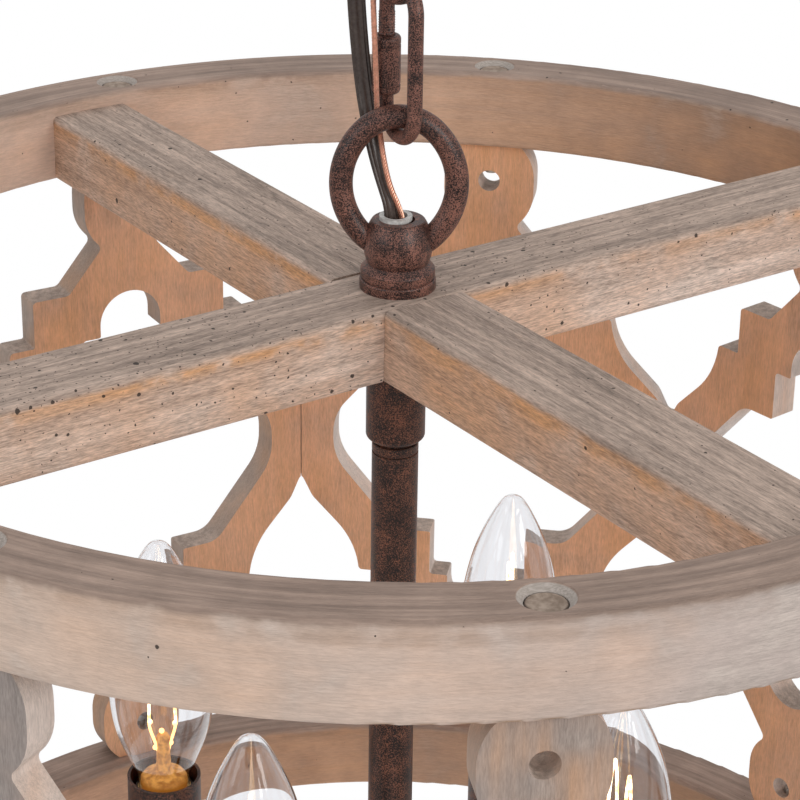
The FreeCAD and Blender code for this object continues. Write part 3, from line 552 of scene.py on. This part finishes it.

# Glass, screw caps, glass stems with a painted amber glow, and filaments of the four bulbs
# (outlines, wall, beads and zigzag in millimetres from the foot of the glass; the beads are painted glints)
bulb = {
    "angles": (62.6, 152.6, 242.6, 322.5), "out": 0.0874, "foot": -0.3835,
    "wall": 0.4, "wire": 0.0005, "glintBead": 1.9, "turn": 0.7, "sides": {"glass": 96, "cap": 48, "glowingStem": 40},
    "glass": [
        (8.8, 0), (8.8, 4), (10.2, 8.4), (12.2, 13), (16.2, 23.5), (17.9, 36), (17.4, 49.5), (15.6, 62),
        (13.3, 72), (10.1, 80.5), (7.2, 86.5), (4.6, 91.4), (2.2, 94), (0, 94)],
    "cap": [
        (0, -19), (2.2, -19), (2.2, -17), (4.6, -16.6), (5.4, -15.6), (5.5, -14.6), (5.95, -13.6),
        (5.5, -12.4), (5.5, -11.8), (5.95, -10.8), (5.5, -9.6), (5.5, -9.0), (5.95, -8.0), (5.5, -6.8),
        (5.5, -6.2), (5.95, -5.2), (5.6, -4.0), (5.8, -1.6), (8.6, -0.8), (9.0, -0.6), (9.0, -0.1),
        (7.4, 0), (0, 0)],
    # the glass stem and its foot, given a painted amber glow
    "glowingStem": [
        (0, 0.3), (7.6, 0.3), (8.1, 1.4), (8.0, 3.2), (7.0, 4.6), (4.6, 5.4), (3.0, 6.6), (2.5, 9),
        (2.2, 17), (2.6, 18.6), (1.6, 20.4), (0, 20.8)],
    # painted glints: glowing beads where the filament's light catches its lead wires and glass stem
    "glintBeads": [
        (-1.4, 9.5), (1.6, 8.8), (-2.6, 16.5), (2.7, 15.2), (0.4, 21.5), (-4.2, 24), (4.3, 25.5)],
    "zigzag": [
        (-1.2, 9), (-1.6, 14), (-4.6, 23), (-4.4, 27), (-2.6, 73), (-1.0, 72), (0.2, 34), (1.4, 33),
        (2.4, 67), (3.4, 66), (4.6, 27), (4.6, 23), (1.6, 14), (1.2, 9)]}


def turnedShape(profile, steps):  # an outline in millimetres, spun round the upright axis
    bm = bmesh.new()
    verts = [bm.verts.new((r / 1000, 0, z / 1000)) for r, z in profile]
    edges = [bm.edges.new(pair) for pair in zip(verts, verts[1:])]
    bmesh.ops.spin(bm, geom=verts + edges, axis=(0, 0, 1), cent=(0, 0, 0), steps=steps,
                   angle=2 * math.pi, use_merge=True)
    bmesh.ops.remove_doubles(bm, verts=bm.verts, dist=1e-6)
    return bm


def glassOutline(spec):  # the smooth outer line, then the same a little smaller for the inside
    line = routeLine("glass", [(r / 1000, 0, z / 1000) for r, z in spec["glass"]], 8)
    outside = [(p.x * 1000, p.z * 1000) for p in line]
    high = outside[-1][1]
    widest = max(r for r, z in outside)
    inside = [(r * (1 - spec["wall"] / widest), z * (1 - spec["wall"] / high)) for r, z in outside]
    outside[-1] = (0, high)
    inside[-1] = (0, high - spec["wall"])
    return outside[::-1] + inside


def filamentShape(spec):  # a zigzag between its supports, with bright beads at the foot that are painted glints of the filament on its lead wires and stem
    bm = bmesh.new()
    dx, dy = math.cos(spec["turn"]) / 1000, math.sin(spec["turn"]) / 1000
    line = routeLine("filament", [(r * dx, r * dy, z / 1000) for r, z in spec["zigzag"]], 10)
    sweep(bm, roundSection(spec["wire"], 8), line)
    for r, z in spec["glintBeads"]:
        place = Matrix.Translation((r * dx, r * dy, z / 1000))
        bmesh.ops.create_icosphere(bm, subdivisions=2, radius=spec["wire"] * spec["glintBead"], matrix=place)
    return bm


sides = bulb["sides"]
for i, angle in zip(fourLamps, bulb["angles"]):
    outThere = Matrix.Translation((bulb["out"], 0, bulb["foot"]))
    toLamp = Matrix.Rotation(math.radians(angle), 4, "Z") @ outThere
    for label, bm, material in (("bulbGlass", turnedShape(glassOutline(bulb), sides["glass"]), clearGlass),
                                ("bulbCap", turnedShape(bulb["cap"], sides["cap"]), brass),
                                ("bulbStemGlow", turnedShape(bulb["glowingStem"], sides["glowingStem"]), paintedStemGlow),
                                ("bulbFilament", filamentShape(bulb), filamentGlow)):
        bmesh.ops.transform(bm, matrix=toLamp, verts=bm.verts)
        slot = "clear_glass" if label == "bulbGlass" else "brass_cap"
        piece = finished(bm, f"{label}_{i}", material, f"bulb_{i}")
        if label == "bulbCap":
            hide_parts(f"bulb_base_{i}")
        elif label == "bulbGlass":
            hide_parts(f"bulb_glass_{i}")
print("bulbs filled")

# The cut thread on the quick link's leg, above its nut
# (radii, pitch and the steps of a turn in millimetres)
linkThread = {
    "leg": (-0.0042, 0.007675), "low": -0.1052, "turns": 9, "pitch": 0.78, "root": 2.2, "crest": 2.43,
    "rise": 0.3, "flat": 0.42, "fall": 0.74, "lift": 0.06, "end": 0.05, "sides": 40}

outline = [(linkThread["root"], 0)]
for i in range(linkThread["turns"]):
    z = i * linkThread["pitch"]
    outline += [(linkThread["crest"], z + linkThread["rise"]), (linkThread["crest"], z + linkThread["flat"]),
                (linkThread["root"] + linkThread["lift"], z + linkThread["fall"])]
outline.append((linkThread["root"], outline[-1][1] + linkThread["end"]))
bm = turnedShape(outline, linkThread["sides"])
bmesh.ops.translate(bm, verts=bm.verts, vec=(*linkThread["leg"], linkThread["low"]))
finished(bm, "linkThread", iron, "quick_link", 30)
print("thread cut")

# Floor, backdrop and soft boxes, each with its place, size, power and colour
studio = {
    "floor": -1.1, "reach": 30, "grey": (0.86, 0.86, 0.86, 1), "world": 0.6, "aim": (0, 0, -0.3),
    "boxes": [("keyBox", (1.3, -1.4, 0.5), 1.0, 14.0, (1.0, 0.98, 0.95)),
              ("fillBox", (-1.4, -1.0, 0.4), 1.0, 4.0, (0.97, 0.98, 1.0)),
              ("topBox", (-0.3, 0.9, 1.2), 1.2, 3.0, (1.0, 1.0, 1.0))]}

bm = bmesh.new()
bmesh.ops.create_grid(bm, x_segments=1, y_segments=1, size=studio["reach"])
bmesh.ops.translate(bm, verts=bm.verts, vec=(0, 0, studio["floor"]))
floorMesh = bpy.data.meshes.new("studioFloor")
bm.to_mesh(floorMesh)
bm.free()
floor = bpy.data.objects.new("studioFloor", floorMesh)
scene.collection.objects.link(floor)
floorMaterial, floorShader = newMaterial("studioFloor")[:2]
feed(floorShader, {"Base Color": studio["grey"], "Roughness": 0.9})
floorMesh.materials.append(floorMaterial)


def whiteToView(tree, output, plain, kind):  # white where the camera looks at it, through glass too
    ray = Wire(tree, tree.nodes.new("ShaderNodeLightPath"), "Is Camera Ray")
    seen = ray.larger(ray.other("Is Transmission Ray"))
    white = ray.add(kind, {}, {"Color": (1, 1, 1, 1), "Strength": 1.0})
    mixed = ray.add("ShaderNodeMixShader", {}, {0: seen, 1: plain, 2: white})
    tree.links.new(mixed.socket, output.inputs["Surface"])


floorTree = floorMaterial.node_tree
whiteToView(floorTree, floorTree.nodes["Material Output"], Wire(floorTree, floorShader),
            "ShaderNodeEmission")
world = bpy.data.worlds.new("studioWorld")
world.use_nodes = True
scene.world = world
backdrop = world.node_tree.nodes["Background"]
backdrop.inputs["Color"].default_value = (1, 1, 1, 1)
backdrop.inputs["Strength"].default_value = studio["world"]
whiteToView(world.node_tree, world.node_tree.nodes["World Output"], Wire(world.node_tree, backdrop),
            "ShaderNodeBackground")


def softBox(name, place, size, power, colour):
    data = bpy.data.lights.new(name, "AREA")
    data.size = size
    data.energy = power
    data.color = colour
    box = bpy.data.objects.new(name, data)
    aim = Vector(studio["aim"]) - Vector(place)
    box.matrix_world = Matrix.Translation(place) @ aim.to_track_quat("-Z", "Y").to_matrix().to_4x4()
    scene.collection.objects.link(box)


for box in studio["boxes"]:
    softBox(*box)
print("studio lit")
